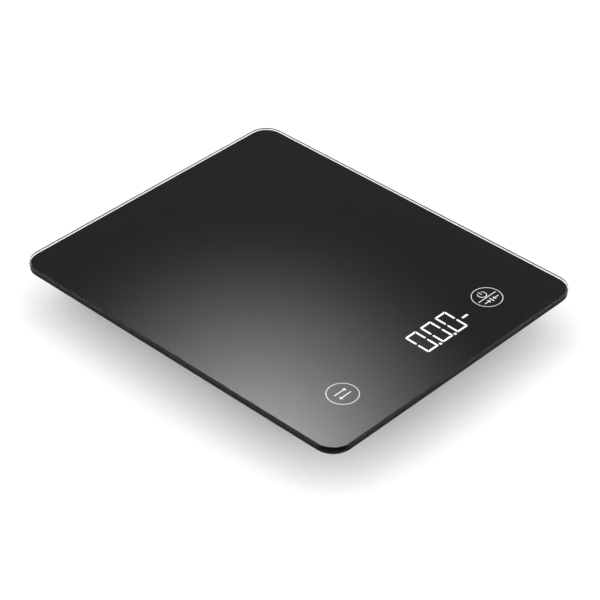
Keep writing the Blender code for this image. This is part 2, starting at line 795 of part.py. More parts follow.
def make_board(body):
    top_z = PCB_TOP_Z
    mesh = build_mesh("main_pcb", lambda bm: add_prism(bm, PCB_OUTLINE, PCB_Z, top_z))

    def add_holes(bm):
        for x, y in PCB_SCREW_SPOTS:
            hole = circle_outline(x, y, PCB_HOLE_RADIUS, BOSS_STEPS)
            add_prism(bm, hole, PCB_Z - 1 * MM, top_z + 1 * MM)

    mesh = carve(mesh, "DIFFERENCE", add_holes)
    green = make_material("board_laminate", (0.02, 0.12, 0.05), 0.4)
    make_object("main_pcb", mesh, green, body)


def make_chips(body):
    """An epoxy dome over the controller, and a driver chip with a row of legs on each side."""
    epoxy = make_material("epoxy", (0.02, 0.02, 0.02), 0.3)
    radius = 5 * MM
    height = 1.2 * MM
    rings = 5
    dome = []
    for ring in range(rings):
        angle = math.pi / 2 * ring / rings
        dome.append((radius * math.sin(angle + 0.1), -height * math.cos(angle + 0.1)))
    dome.append((radius, 0))
    mesh = build_mesh("controller_dome", lambda bm: add_turned(bm, dome, steps=16))
    shade_round(mesh)
    make_object("controller_dome", mesh, epoxy, body, (0, -84 * MM, PCB_Z - GAP))

    resin = make_material("chip_resin", (0.03, 0.03, 0.03), 0.5)
    half = (5 * MM, 2 * MM)
    legs = 8
    mesh = build_mesh(
        "driver_chip", lambda bm: add_box(bm, (-half[0], -half[1], -1.6 * MM), (*half, -0.2 * MM))
    )

    def add_legs(bm):
        for leg in range(legs):
            x = (leg - (legs - 1) / 2) * 1.2 * MM
            low = (x - 0.2 * MM, -3 * MM, -0.9 * MM)
            high = (x + 0.2 * MM, 3 * MM, -0.6 * MM)
            add_box(bm, low, high)

    mesh = carve(mesh, "UNION", add_legs)
    make_object("driver_chip", mesh, resin, body, (18 * MM, -84 * MM, PCB_Z - GAP))


def horizontal_bar(left, right, y, half):
    """A six-sided bar with pointed ends."""
    return [
        (left, y),
        (left + half, y - half),
        (right - half, y - half),
        (right, y),
        (right - half, y + half),
        (left + half, y + half),
    ]


def upright_bar(low, high, x, half):
    return [(x - dy, y) for y, dy in horizontal_bar(low, high, 0, half)]


def digit_bars(x):
    """The seven bars of a digit centred at x, each an outline that stops short of the next."""
    half = DIGIT_STROKE / 2
    side = DIGIT_WIDTH / 2 - half
    rise = DIGIT_HEIGHT / 2 - half
    trim = SEGMENT_GAP
    bars = []
    for level in (-rise, 0, rise):
        bars.append(horizontal_bar(x - side + trim, x + side - trim, DISPLAY_Y + level, half))
    for edge in (-side, side):
        for low, high in ((-rise, 0), (0, rise)):
            low_y = DISPLAY_Y + low + trim
            high_y = DISPLAY_Y + high - trim
            bars.append(upright_bar(low_y, high_y, x + edge, half))
    return bars


def display_marks():
    """Every bar of every digit, and the square point after each digit but the last."""
    marks = []
    for digit in range(DIGIT_COUNT):
        x = FIRST_DIGIT_X + digit * DIGIT_PITCH
        marks += digit_bars(x)
        if digit < DIGIT_COUNT - 1:
            centre = x + DIGIT_PITCH / 2
            low = (centre - 0.5 * MM, DISPLAY_Y - DIGIT_HEIGHT / 2)
            high = (centre + 0.5 * MM, low[1] + 1.6 * MM)
            marks.append(box_outline(low, high))
    return marks


def make_display(body):
    """A white reflector with a well behind each mark, and a diffuser with a raised pad for each."""
    marks = display_marks()
    reflector_z = PCB_TOP_Z + GAP
    reflector_top = FILM_Z - 1.2 * MM
    low = (*DISPLAY_LOW, reflector_z)
    high = (*DISPLAY_HIGH, reflector_top)
    white = make_material("reflector_plastic", (0.85, 0.85, 0.85), 0.4)
    mesh = build_mesh("display_reflector", lambda bm: add_box(bm, low, high))

    def add_wells(bm):
        for outline in marks:
            add_prism(bm, outline, reflector_z + 1 * MM, reflector_top + 1 * MM)

    make_object("display_reflector", carve(mesh, "DIFFERENCE", add_wells), white, body)

    plate_z = reflector_top + GAP
    plate_top = plate_z + 0.3 * MM
    low = (DISPLAY_LOW[0] + 0.5 * MM, DISPLAY_LOW[1] + 0.5 * MM, plate_z)
    high = (DISPLAY_HIGH[0] - 0.5 * MM, DISPLAY_HIGH[1] - 0.5 * MM, plate_top)
    milky = make_material("diffuser_plastic", (0.9, 0.9, 0.9), 0.6, transmission=0.4)
    mesh = build_mesh("segment_diffuser", lambda bm: add_box(bm, low, high))

    def add_pads(bm):
        for outline in marks:
            add_prism(bm, outline, plate_top - 0.1 * MM, FILM_Z - GAP)

    make_object("segment_diffuser", carve(mesh, "UNION", add_pads), milky, body)


def make_touch_springs(body):
    """Coils that carry each touch key's signal from the board to the film."""
    steel = make_material("spring_steel", (0.75, 0.74, 0.7), 0.25, 1.0)
    wire = 0.3 * MM
    radius = 3.2 * MM
    turns = 3.25
    per_turn = 12
    low_z = PCB_TOP_Z + GAP + wire
    high_z = FILM_Z - GAP - wire
    count = round(turns * per_turn)
    for name, (x, y) in (("touch_spring_unit", UNIT_KEY), ("touch_spring_tare", TARE_KEY)):
        path = []
        for step in range(count + 1):
            angle = 2 * math.pi * step / per_turn
            height = low_z + (high_z - low_z) * step / count
            path.append((x + radius * math.cos(angle), y + radius * math.sin(angle), height))
        make_tube(name, path, wire, steel, body, bevel_resolution=1)


# Wiring


def mirrored(points, side):
    return [(side * x, y, z) for x, y, z in points]


def make_wiring(body):
    """Each cell's wires and each battery lead, laid on the housing floor on their way to the board."""
    grey = make_material("wire_grey", (0.35, 0.35, 0.36), 0.5)
    red = make_material("wire_red", (0.5, 0.03, 0.02), 0.5)
    black = make_material("wire_black", (0.02, 0.02, 0.02), 0.5)
    lane_z = FLOOR_TOP_Z + 1.3 * MM
    board_z = PCB_Z - GAP
    start_x = FOOT_X - CELL_LENGTH / 2 + 3.5 * MM
    front = [
        (start_x, -FOOT_Y, HARNESS_EXIT_Z),
        (38.5 * MM, -FOOT_Y, HARNESS_EXIT_Z),
        (36.6 * MM, -66.5 * MM, 8 * MM),
        (37.1 * MM, -76 * MM, 6.6 * MM),
        (38.3 * MM, -82.4 * MM, 7.6 * MM),
        (38.5 * MM, -83 * MM, board_z),
    ]
    rear = [
        (start_x, FOOT_Y, HARNESS_EXIT_Z),
        (38.5 * MM, FOOT_Y, HARNESS_EXIT_Z),
        (34.8 * MM, 59 * MM, 7.4 * MM),
        (33.3 * MM, 50 * MM, lane_z),
        (34 * MM, 20 * MM, lane_z),
        (33.4 * MM, -20 * MM, lane_z),
        (33.8 * MM, -60 * MM, lane_z),
        (33.6 * MM, -75 * MM, 5.4 * MM),
        (33.8 * MM, -81.6 * MM, 7.4 * MM),
        (33.8 * MM, -82 * MM, board_z),
    ]
    for name, side in (("left", -1), ("right", 1)):
        for place, route in (("front", front), ("rear", rear)):
            path = smooth_path(mirrored(route, side), 7 * MM)
            make_tube(f"cell_harness_{place}_{name}", path, HARNESS_RADIUS, grey, body)

    for name, side, index, material in (
        ("battery_lead_red", 1, 0, red),
        ("battery_lead_black", -1, 2, black),
    ):
        y = battery_y(index)
        route = [
            (BAY_HALF_LENGTH - 0.6 * MM, y, LEAD_EXIT_Z),
            (29.4 * MM, y, LEAD_EXIT_Z),
            (30.6 * MM, y - 3 * MM, 7.5 * MM),
            (30.6 * MM, y - 10 * MM, lane_z),
            (30.4 * MM, -20 * MM, lane_z),
            (30.6 * MM, -62 * MM, lane_z),
            (30.2 * MM, -75 * MM, 5.4 * MM),
            (30 * MM, -81.6 * MM, 7.4 * MM),
            (30 * MM, -82 * MM, board_z),
        ]
        path = smooth_path(mirrored(route, side), 6 * MM)
        make_tube(name, path, LEAD_RADIUS, material, body)


# Screws


def screw_mesh(name, head_radius, head_height, shank_radius, length):
    """A pan-head screw with a cross recess. Its head is at the origin and its shank points up."""
    profile = [
        (head_radius - 0.5 * MM, 0),
        (head_radius, 0.6 * MM),
        (head_radius, head_height),
        (shank_radius, head_height),
        (shank_radius, length - 0.8 * MM),
        (shank_radius * 0.4, length),
    ]
    mesh = build_mesh(name, lambda bm: add_turned(bm, profile, steps=12))
    reach = head_radius * 0.62
    half = 0.3 * MM
    cross = [
        (-reach, -half),
        (-half, -half),
        (-half, -reach),
        (half, -reach),
        (half, -half),
        (reach, -half),
        (reach, half),
        (half, half),
        (half, reach),
        (-half, reach),
        (-half, half),
        (-reach, half),
    ]
    mesh = carve(mesh, "DIFFERENCE", lambda bm: add_prism(bm, cross, -1 * MM, head_height * 0.6))
    shade_round(mesh)
    return mesh


def make_screws(body):
    zinc = make_material("screw_zinc", (0.55, 0.55, 0.55), 0.3, 1.0)
    head_height = SCREW_HEAD_TOP_Z - SCREW_HEAD_Z
    mesh = screw_mesh(
        "housing_screw", SCREW_HEAD_RADIUS, head_height, SCREW_RADIUS, SCREW_TIP_Z - SCREW_HEAD_Z
    )
    mesh.materials.append(zinc)
    for number, (x, y) in enumerate(SCREW_SPOTS, 1):
        make_object(f"housing_screw_{number}", mesh, parent=body, location=(x, y, SCREW_HEAD_Z))

    head_height = 1.1 * MM
    head_z = PCB_Z - GAP - head_height
    mesh = screw_mesh("pcb_screw", 2 * MM, head_height, 1 * MM, FRAME_Z - 0.8 * MM - head_z)
    mesh.materials.append(zinc)
    for number, (x, y) in enumerate(PCB_SCREW_SPOTS, 1):
        make_object(f"pcb_screw_{number}", mesh, parent=body, location=(x, y, head_z))


def main():
    for leftover in list(bpy.data.objects):
        bpy.data.objects.remove(leftover)
    body = make_empty("scale_body")
    make_platform(body)
    make_tape(body)
    make_upper_frame(body)
    make_lower_housing(body)
    make_feet(body)
    make_batteries(body)
    make_contacts(body)
    make_door(body)
    make_board(body)
    make_chips(body)
    make_display(body)
    make_touch_springs(body)
    make_wiring(body)
    make_screws(body)


main()
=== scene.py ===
"""The looks of a slim digital kitchen scale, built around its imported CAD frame.

Lengths are metres. +X is to the user's right, +Y is away from the user and +Z is up.
The glass plate and the black print under it are remodelled here, with the key marks and the lit
display between them. Every other CAD node keeps its shape and gets its material here.
"""

import json
import math

import bmesh
import bpy
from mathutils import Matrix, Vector


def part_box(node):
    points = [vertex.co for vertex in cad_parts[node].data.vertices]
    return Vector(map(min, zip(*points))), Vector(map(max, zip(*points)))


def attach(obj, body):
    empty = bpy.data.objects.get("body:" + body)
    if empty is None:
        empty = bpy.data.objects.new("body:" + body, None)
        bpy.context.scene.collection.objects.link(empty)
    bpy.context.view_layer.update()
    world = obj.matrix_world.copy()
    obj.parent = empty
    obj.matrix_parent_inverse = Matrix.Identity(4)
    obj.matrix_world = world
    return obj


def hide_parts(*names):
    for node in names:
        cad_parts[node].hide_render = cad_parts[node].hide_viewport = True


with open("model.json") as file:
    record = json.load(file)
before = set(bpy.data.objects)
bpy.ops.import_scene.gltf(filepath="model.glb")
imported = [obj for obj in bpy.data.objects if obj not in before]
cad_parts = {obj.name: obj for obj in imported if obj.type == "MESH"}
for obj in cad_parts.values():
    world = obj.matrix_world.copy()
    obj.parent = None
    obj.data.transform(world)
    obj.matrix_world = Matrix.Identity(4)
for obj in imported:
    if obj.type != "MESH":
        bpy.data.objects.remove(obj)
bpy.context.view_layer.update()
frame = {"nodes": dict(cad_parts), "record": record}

MM = 0.001

# Glass plate
CORNER_RADIUS = 11 * MM
CORNER_STEPS = 24
EDGE_RADIUS_TOP = 0.25 * MM
EDGE_RADIUS_BOTTOM = 0.12 * MM
EDGE_STEPS = 8
PRINT_INSET = 0.85 * MM
PRINT_BITE = 0.03 * MM  # how far the print reaches into the glass, so that no air lies between them

# Marks between the print and the glass
MARK_LIFT = 0.01 * MM
MARK_THICKNESS = 0.02 * MM
UNIT_KEY = Vector((-54.3, -82.2)) * MM
TARE_KEY = Vector((52.0, -82.6)) * MM
KEY_RADIUS = 8.2 * MM
KEY_LINE = 0.45 * MM
RING_STEPS = 64
DIGIT_XS = (1.95 * MM, 12.95 * MM, 23.95 * MM)
DIGIT_Y = -82.95 * MM
DIGIT_WIDTH = 7.85 * MM
DIGIT_HEIGHT = 15.95 * MM
DIGIT_STROKE = 1.1 * MM
DIGIT_SLIT = 0.24 * MM  # from a mitred end to the corner's diagonal, along the bar
DIGIT_GAP = 0.45 * MM  # from a side bar's inner end to the digit's middle
DIGIT_TAPER = 0.5 * MM
DIGIT_SLANT = 0.03  # how far a digit leans to the right for each unit of height

POINT_XS = (7.15 * MM, 18.1 * MM)
POINT_Y = -90.6 * MM
POINT_HALF = Vector((0.6, 0.75)) * MM
UNIT_BAR = Vector((32.2, -84.8)) * MM
UNIT_BAR_HALF = Vector((2.0, 0.6)) * MM
SWAP_REACH = 8 * MM
SWAP_APART = 3.4 * MM
ARROW_SHAFT = 0.35 * MM  # half its thickness
ARROW_HEAD = 1.4 * MM  # its length, and half its width
TARE_SPOT = Vector((52.1, -85.6)) * MM
TARE_BAR_HALF = Vector((0.35, 1.6)) * MM
TARE_TAIL = 5.2 * MM  # from the bar to an arrow's tail
TARE_REACH = 4.2 * MM
DIVIDER_HALF = Vector((6.6, 0.3)) * MM
POWER_SPOT = Vector((51.8, -79.4)) * MM
POWER_RADIUS = 2.6 * MM
POWER_LINE = 0.55 * MM
POWER_GAP = math.radians(38)  # on each side of the stem
POWER_STEPS = 40
POWER_STEM_HALF = Vector((0.28, 1.375)) * MM

# Camera
LENS = 137.16
SENSOR = 36.0
CAMERA_AZIMUTH = math.radians(-46.32)
CAMERA_ELEVATION = math.radians(36.93)
CAMERA_DISTANCE = 1.145
AIM = Vector((-15.6, -17.2, 0)) * MM  # from the middle of the plate's top

# Studio. The light comes from low all round, and from higher up behind the right-hand side.
# A sky stop is the sine of an elevation and the level there, even all round or leaning to a side.
FLOOR_HALF = 12.0
FLOOR_DROP = 0.05 * MM  # below the feet, so that the two faces aren't level
FLOOR_GLOW = 0.08
FLOOR_KEPT = 0.4  # the share of the floor's light that a mirror-like reflection shows
DARK_WALLS = 0.212  # what a mirror-like reflection sees of the room
LIGHT_SIDE = Vector((0.66, 0.75, 0.0))
SKY_SCALE = 6.0
SKY_STRENGTH = 1.15
SKY_EVEN = ((0.02, 3.0), (0.15, 5.2), (0.3, 2.85), (0.45, 1.5), (0.65, 1.55), (1.0, 0.0))
SKY_LEAN = ((0.02, 0.0), (0.15, -0.5), (0.3, -2.8), (0.45, 1.5), (0.65, 1.55), (1.0, 0.0))

# Cards that only reflections see. The face's card is placed from the camera's mirror image.
FACE_CARD_DEPTH = 3.0
FACE_CARD_OFFSET = (-0.062, -0.2535)
FACE_CARD_RADIUS = 0.388
FACE_CARD_STRENGTH = 10.4
FACE_CARD_FALLOFF = 2.35
RIM_CARD_DIRECTIONS = {
    "left_rim_card": Vector((-0.60, 0.55, 0.58)),
    "front_rim_card": Vector((0.58, -0.60, 0.55)),
}
RIM_CARD_DISTANCE = 2.0
RIM_CARD_RADIUS = 1.6
RIM_CARD_STRENGTH = 0.85
RIM_CARD_FALLOFF = 0.3
CORNER_CARD_OFFSET = Vector((-15, -13, 1)) * MM  # from the near corner, on the floor
CORNER_CARD_RADIUS = 48 * MM
DARK_CARD_COLOUR = (0.005, 0.005, 0.005, 1)

plate_low, plate_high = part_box("glass_platform")
film_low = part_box("backing_film")[0]
PLATE_MIDDLE = (plate_low + plate_high) / 2
PLATE_HALF = (plate_high - plate_low) / 2
PRINT_TOP_Z = plate_low.z + PRINT_BITE
MARK_Z = PRINT_TOP_Z + MARK_LIFT


# Meshes


def plate_outline(inset):
    """The plate's outline moved inwards by inset, anticlockwise from the right-hand side."""
    radius = CORNER_RADIUS - inset
    middle_x = PLATE_HALF.x - CORNER_RADIUS
    middle_y = PLATE_HALF.y - CORNER_RADIUS
    points = []
    for quarter, (side_x, side_y) in enumerate(((1, 1), (-1, 1), (-1, -1), (1, -1))):
        for step in range(CORNER_STEPS + 1):
            angle = math.pi / 2 * (quarter + step / CORNER_STEPS)
            x = side_x * middle_x + radius * math.cos(angle)
            y = side_y * middle_y + radius * math.sin(angle)
            points.append((PLATE_MIDDLE.x + x, PLATE_MIDDLE.y + y))
    return points


def arc(centre, radius, start, end, steps):
    """Points on a circle from one angle to another, both ends included."""
    turns = [start + (end - start) * step / steps for step in range(steps + 1)]
    return [centre + radius * Vector((math.cos(turn), math.sin(turn))) for turn in turns]


def add_stack(bm, levels):
    """A solid whose outline passes through each (outline, height) in turn.

    Its sides are shaded smooth where there are more than two.
    """
    rings = [[bm.verts.new((x, y, z)) for x, y in outline] for outline, z in levels]
    for lower, upper in zip(rings, rings[1:]):
        for i in range(len(lower)):
            j = (i + 1) % len(lower)
            side = bm.faces.new((lower[i], lower[j], upper[j], upper[i]))
            side.smooth = len(levels) > 2
    bm.faces.new(tuple(reversed(rings[0])))
    bm.faces.new(tuple(rings[-1]))


def add_mark(bm, outline):
    add_stack(bm, [(outline, MARK_Z), (outline, MARK_Z + MARK_THICKNESS)])


def add_ring(bm, centre, radius, line, start=0.0, end=2 * math.pi, steps=RING_STEPS):
    """A flat line along a circle, closed if it goes all the way round."""
    outer = arc(centre, radius, start, end, steps)
    inner = arc(centre, radius - line, start, end, steps)
    if end - start < 2 * math.pi:
        add_mark(bm, outer + inner[::-1])
        return
    low = MARK_Z
    high = MARK_Z + MARK_THICKNESS
    loops = []
    for points, z in ((outer, low), (outer, high), (inner, high), (inner, low)):
        loops.append([bm.verts.new((p.x, p.y, z)) for p in points[:-1]])
    for here, there in zip(loops, loops[1:] + loops[:1]):
        for i in range(steps):
            j = (i + 1) % steps
            bm.faces.new((here[i], here[j], there[j], there[i]))


def build_piece(name, draw, material, body="scale_body"):
    """A named object that rides on body, drawn by calling draw on an empty bmesh."""
    bm = bmesh.new()
    draw(bm)
    bmesh.ops.recalc_face_normals(bm, faces=bm.faces)
    mesh = bpy.data.meshes.new(name)
    bm.to_mesh(mesh)
    bm.free()
    mesh.materials.append(material)
    piece = bpy.data.objects.new(name, mesh)
    bpy.context.scene.collection.objects.link(piece)
    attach(piece, body)
    return piece


def add_bar(bm, middle, half):
    """An upright rectangle, from its middle and its half sizes."""
    corners = ((-1, -1), (1, -1), (1, 1), (-1, 1))
    add_mark(bm, [middle + Vector((half.x * x, half.y * y)) for x, y in corners])


def add_arrow(bm, tail, reach, shaft, head):
    """A level arrow from its tail. reach is its length, below nothing for an arrow to the left."""
    way = math.copysign(1, reach)
    neck = reach - way * head
    outline = [(0, -shaft), (neck, -shaft), (neck, -head), (reach, 0)]
    outline += [(neck, head), (neck, shaft), (0, shaft)]
    add_mark(bm, [tail + Vector(point) for point in outline])


# Materials


class Nodes:
    """A material's node tree, with short calls for adding nodes and joining them."""

    def __init__(self, name):
        self.material = bpy.data.materials.new(name)
        self.material.use_nodes = True
        self.tree = self.material.node_tree
        self.shader = self.tree.nodes["Principled BSDF"]

    def add(self, kind, **settings):
        node = self.tree.nodes.new(kind)
        for key, value in settings.items():
            if key in node.inputs:
                node.inputs[key].default_value = value
            else:
                setattr(node, key, value)
        return node

    def join(self, output, target):
        self.tree.links.new(output, target)

    def object_point(self, stretch=(1, 1, 1)):
        """Object coordinates in metres, squeezed by stretch along each axis."""
        coordinates = self.add("ShaderNodeTexCoord")
        mapping = self.add("ShaderNodeMapping")
        mapping.inputs["Scale"].default_value = stretch
        self.join(coordinates.outputs["Object"], mapping.inputs["Vector"])
        return mapping.outputs["Vector"]

    def noise(self, point, feature, detail=4.0, roughness=0.55):
        """Noise whose features are about the given length across."""
        node = self.add(
            "ShaderNodeTexNoise", Scale=1 / feature, Detail=detail, Roughness=roughness
        )
        self.join(point, node.inputs["Vector"])
        return node.outputs["Fac"]

    def spread(self, value, low, high, from_low=0.3, from_high=0.7):
        """Value stretched to run from low to high."""
        node = self.add("ShaderNodeMapRange")
        node.inputs["From Min"].default_value = from_low
        node.inputs["From Max"].default_value = from_high
        node.inputs["To Min"].default_value = low
        node.inputs["To Max"].default_value = high
        self.join(value, node.inputs["Value"])
        return node.outputs["Result"]

    def blend(self, factor, first, second):
        """A colour between first and second."""
        node = self.add("ShaderNodeMix", data_type="RGBA")
        node.inputs["A"].default_value = (*first, 1)
        node.inputs["B"].default_value = (*second, 1)
        self.join(factor, node.inputs["Factor"])
        return node.outputs["Result"]

    def bump(self, height, depth, strength=1.0):
        node = self.add("ShaderNodeBump", Strength=strength, Distance=depth)
        self.join(height, node.inputs["Height"])
        self.join(node.outputs["Normal"], self.shader.inputs["Normal"])


def surface(
    name,
    colour,
    roughness,
    metallic=0.0,
    grain=0.3 * MM,
    depth=0.01 * MM,
    mottle=12 * MM,
    variation=0.12,
    stretch=(1, 1, 1),
    specular=0.5,
):
    """A solid finish: a fine grain in relief, and broad faint changes of tone and roughness.

    roughness is a (low, high) pair, and stretch draws the grain out along an axis where it is small.
    """
    nodes = Nodes(name)
    shader = nodes.shader
    shader.inputs["Metallic"].default_value = metallic
    shader.inputs["Specular IOR Level"].default_value = specular
    point = nodes.object_point(stretch)
    fine = nodes.noise(point, grain, 5.0)
    broad = nodes.noise(nodes.object_point(), mottle, 3.0)
    darker = [channel * (1 - variation) for channel in colour]
    lighter = [min(1.0, channel * (1 + variation)) for channel in colour]
    nodes.join(nodes.blend(broad, darker, lighter), shader.inputs["Base Color"])
    mixed = nodes.add("ShaderNodeMath", operation="ADD")
    nodes.join(fine, mixed.inputs[0])
    nodes.join(broad, mixed.inputs[1])
    nodes.join(nodes.spread(mixed.outputs[0], *roughness, 0.7, 1.3), shader.inputs["Roughness"])
    nodes.bump(fine, depth)
    return nodes


def clear_glass():
    """Polished float glass with a breath of dust."""
    nodes = Nodes("clear_glass")
    shader = nodes.shader
    shader.inputs["Base Color"].default_value = (0.985, 0.995, 0.99, 1)
    shader.inputs["Transmission Weight"].default_value = 1.0
    shader.inputs["IOR"].default_value = 1.52
    point = nodes.object_point()
    dust = nodes.noise(point, 6 * MM, 6.0)
    nodes.join(nodes.spread(dust, 0.0, 0.02, 0.45, 0.8), shader.inputs["Roughness"])
    return nodes.material


def black_print():
    """Screen-printed black, fused to the underside of the glass, with a faint speckle."""
    nodes = Nodes("black_print")
    shader = nodes.shader
    shader.inputs["Specular IOR Level"].default_value = 0.0
    shader.inputs["Roughness"].default_value = 0.6
    point = nodes.object_point()
    speck = nodes.noise(point, 0.4 * MM, 3.0)
    nodes.join(nodes.blend(speck, (0.005, 0.005, 0.0052), (0.0068, 0.0068, 0.007)),
               shader.inputs["Base Color"])
    return nodes.material


def white_ink_painted_glow():
    """Opaque white ink, slightly uneven where the screen laid it down, with a faint painted glow so
    that it stays bright under the glass.
    """
    nodes = Nodes("white_ink_painted_glow")
    shader = nodes.shader
    shader.inputs["Specular IOR Level"].default_value = 0.0
    shader.inputs["Roughness"].default_value = 0.7
    speck = nodes.noise(nodes.object_point(), 0.25 * MM, 3.0)
    nodes.join(nodes.blend(speck, (0.72, 0.72, 0.72), (0.86, 0.86, 0.86)),
               shader.inputs["Base Color"])
    # Painted glow: the ink gives off a little light of its own, though it is print and not a lamp.
    shader.inputs["Emission Color"].default_value = (1, 1, 1, 1)
    shader.inputs["Emission Strength"].default_value = 0.1
    return nodes.material


def lit_segment():
    """A white display bar with its light on, slightly uneven in brightness."""
    nodes = Nodes("lit_segment")
    shader = nodes.shader
    shader.inputs["Base Color"].default_value = (0.8, 0.8, 0.8, 1)
    shader.inputs["Specular IOR Level"].default_value = 0.0
    shader.inputs["Roughness"].default_value = 0.7
    shader.inputs["Emission Color"].default_value = (1, 1, 1, 1)
    glow = nodes.noise(nodes.object_point(), 1.5 * MM, 1.0)
    nodes.join(nodes.spread(glow, 0.55, 0.75), shader.inputs["Emission Strength"])
    return nodes.material


def board_laminate():
    """Green solder mask, with a grid of paler tracks showing through it."""
    nodes = surface(
        "board_laminate", (0.015, 0.11, 0.045), (0.25, 0.42), grain=0.5 * MM, depth=0.01 * MM
    )
    shader = nodes.shader
    tracks = nodes.add("ShaderNodeTexBrick", Scale=180.0)
    tracks.inputs["Color1"].default_value = (0.015, 0.11, 0.045, 1)
    tracks.inputs["Color2"].default_value = (0.02, 0.16, 0.07, 1)
    tracks.inputs["Mortar"].default_value = (0.03, 0.2, 0.09, 1)
    tracks.inputs["Mortar Size"].default_value = 0.03
    nodes.join(nodes.object_point(), tracks.inputs["Vector"])
    nodes.join(tracks.outputs["Color"], shader.inputs["Base Color"])
    return nodes


def paint_cad_nodes():
    """Give every CAD node whose slot is listed here that slot's material."""
    materials = {
        "foam": surface("black_foam", (0.012,) * 3, (0.85, 1.0), grain=0.5 * MM, depth=0.08 * MM),
        "frame_plastic": surface(
            "frame_plastic",
            (0.007, 0.007, 0.0073),
            (0.5, 0.68),
            grain=0.25 * MM,
            depth=0.02 * MM,
            specular=0.25,
        ),
        "housing_plastic": surface(
            "housing_plastic",
            (0.018, 0.018, 0.019),
            (0.42, 0.6),
            grain=0.35 * MM,
            depth=0.045 * MM,
            mottle=25 * MM,
        ),
        "door_plastic": surface(
            "door_plastic",
            (0.018, 0.018, 0.019),
            (0.4, 0.58),
            grain=0.35 * MM,
            depth=0.04 * MM,
        ),
        "foot_plastic": surface(
            "foot_plastic", (0.025, 0.025, 0.026), (0.3, 0.45), grain=0.4 * MM, depth=0.01 * MM
        ),
        "foot_rubber": surface(
            "foot_rubber",
            (0.035, 0.035, 0.036),
            (0.7, 0.9),
            grain=0.3 * MM,
            depth=0.03 * MM,
            mottle=4 * MM,
            variation=0.25,
        ),
        "cell_steel": surface(
            "cell_steel",
            (0.62, 0.62, 0.6),
            (0.22, 0.4),
            metallic=1.0,
            grain=0.3 * MM,
            depth=0.006 * MM,
            stretch=(0.05, 1, 1),
        ),
        "bracket_plastic": surface(
            "bracket_plastic", (0.72, 0.72, 0.7), (0.35, 0.5), grain=0.5 * MM, variation=0.05
        ),
        "gauge_coating": surface(
            "gauge_coating", (0.8, 0.8, 0.76), (0.45, 0.7), grain=0.8 * MM, depth=0.06 * MM
        ),
        "battery_case": surface(
            "battery_case",
            (0.05, 0.05, 0.055),
            (0.22, 0.34),
            metallic=0.6,
            grain=0.2 * MM,
            depth=0.004 * MM,
        ),
        "contact_nickel": surface(
            "contact_nickel",
            (0.7, 0.69, 0.66),
            (0.15, 0.32),
            metallic=1.0,
            grain=0.2 * MM,
            depth=0.004 * MM,
            stretch=(1, 1, 0.06),
        ),
        "board": board_laminate(),
        "chip_resin": surface(
            "chip_resin", (0.015,) * 3, (0.35, 0.6), grain=0.15 * MM, depth=0.01 * MM
        ),
        "reflector": surface(
            "reflector", (0.85, 0.85, 0.84), (0.3, 0.45), grain=0.6 * MM, variation=0.04
        ),
        "diffuser": surface(
            "diffuser", (0.88, 0.88, 0.88), (0.5, 0.65), grain=0.2 * MM, variation=0.04
        ),
        "spring_steel": surface(
            "spring_steel",
            (0.72, 0.71, 0.68),
            (0.15, 0.3),
            metallic=1.0,
            grain=0.12 * MM,
            depth=0.003 * MM,
        ),
        "wire_grey": surface("wire_grey", (0.3, 0.3, 0.31), (0.4, 0.6), grain=0.5 * MM),
        "wire_red": surface("wire_red", (0.5, 0.03, 0.02), (0.35, 0.55), grain=0.5 * MM),
        "wire_black": surface("wire_black", (0.015,) * 3, (0.35, 0.55), grain=0.5 * MM),
        "screw_zinc": surface(
            "screw_zinc",
            (0.6, 0.6, 0.58),
            (0.2, 0.42),
            metallic=1.0,
            grain=0.25 * MM,
            depth=0.008 * MM,
        ),
    }
    for subpart in frame["record"]["subparts"]:
        nodes = materials.get(subpart["material_slot"])
        if nodes:
            mesh = frame["nodes"][subpart["node"]].data
            mesh.materials.clear()
            mesh.materials.append(nodes.material)


# Glass plate and print


def build_plate():
    def draw_glass(bm):
        levels = []
        for step in range(EDGE_STEPS + 1):
            angle = math.pi / 2 * (1 - step / EDGE_STEPS)
            inset = EDGE_RADIUS_BOTTOM * (1 - math.cos(angle))
            rise = EDGE_RADIUS_BOTTOM * (1 - math.sin(angle))
            levels.append((plate_outline(inset), plate_low.z + rise))
        for step in range(EDGE_STEPS + 1):
            angle = math.pi / 2 * step / EDGE_STEPS
            inset = EDGE_RADIUS_TOP * (1 - math.cos(angle))
            drop = EDGE_RADIUS_TOP * (1 - math.sin(angle))
            levels.append((plate_outline(inset), plate_high.z - drop))
        add_stack(bm, levels)

    glass = build_piece("glass_plate", draw_glass, clear_glass())
    glass.visible_shadow = False
    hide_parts("glass_platform")

    outline = plate_outline(PRINT_INSET)
    backing = build_piece(
        "back_print",
        lambda bm: add_stack(bm, [(outline, film_low.z), (outline, PRINT_TOP_Z)]),
        black_print(),
    )
    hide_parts("backing_film")


# Key marks


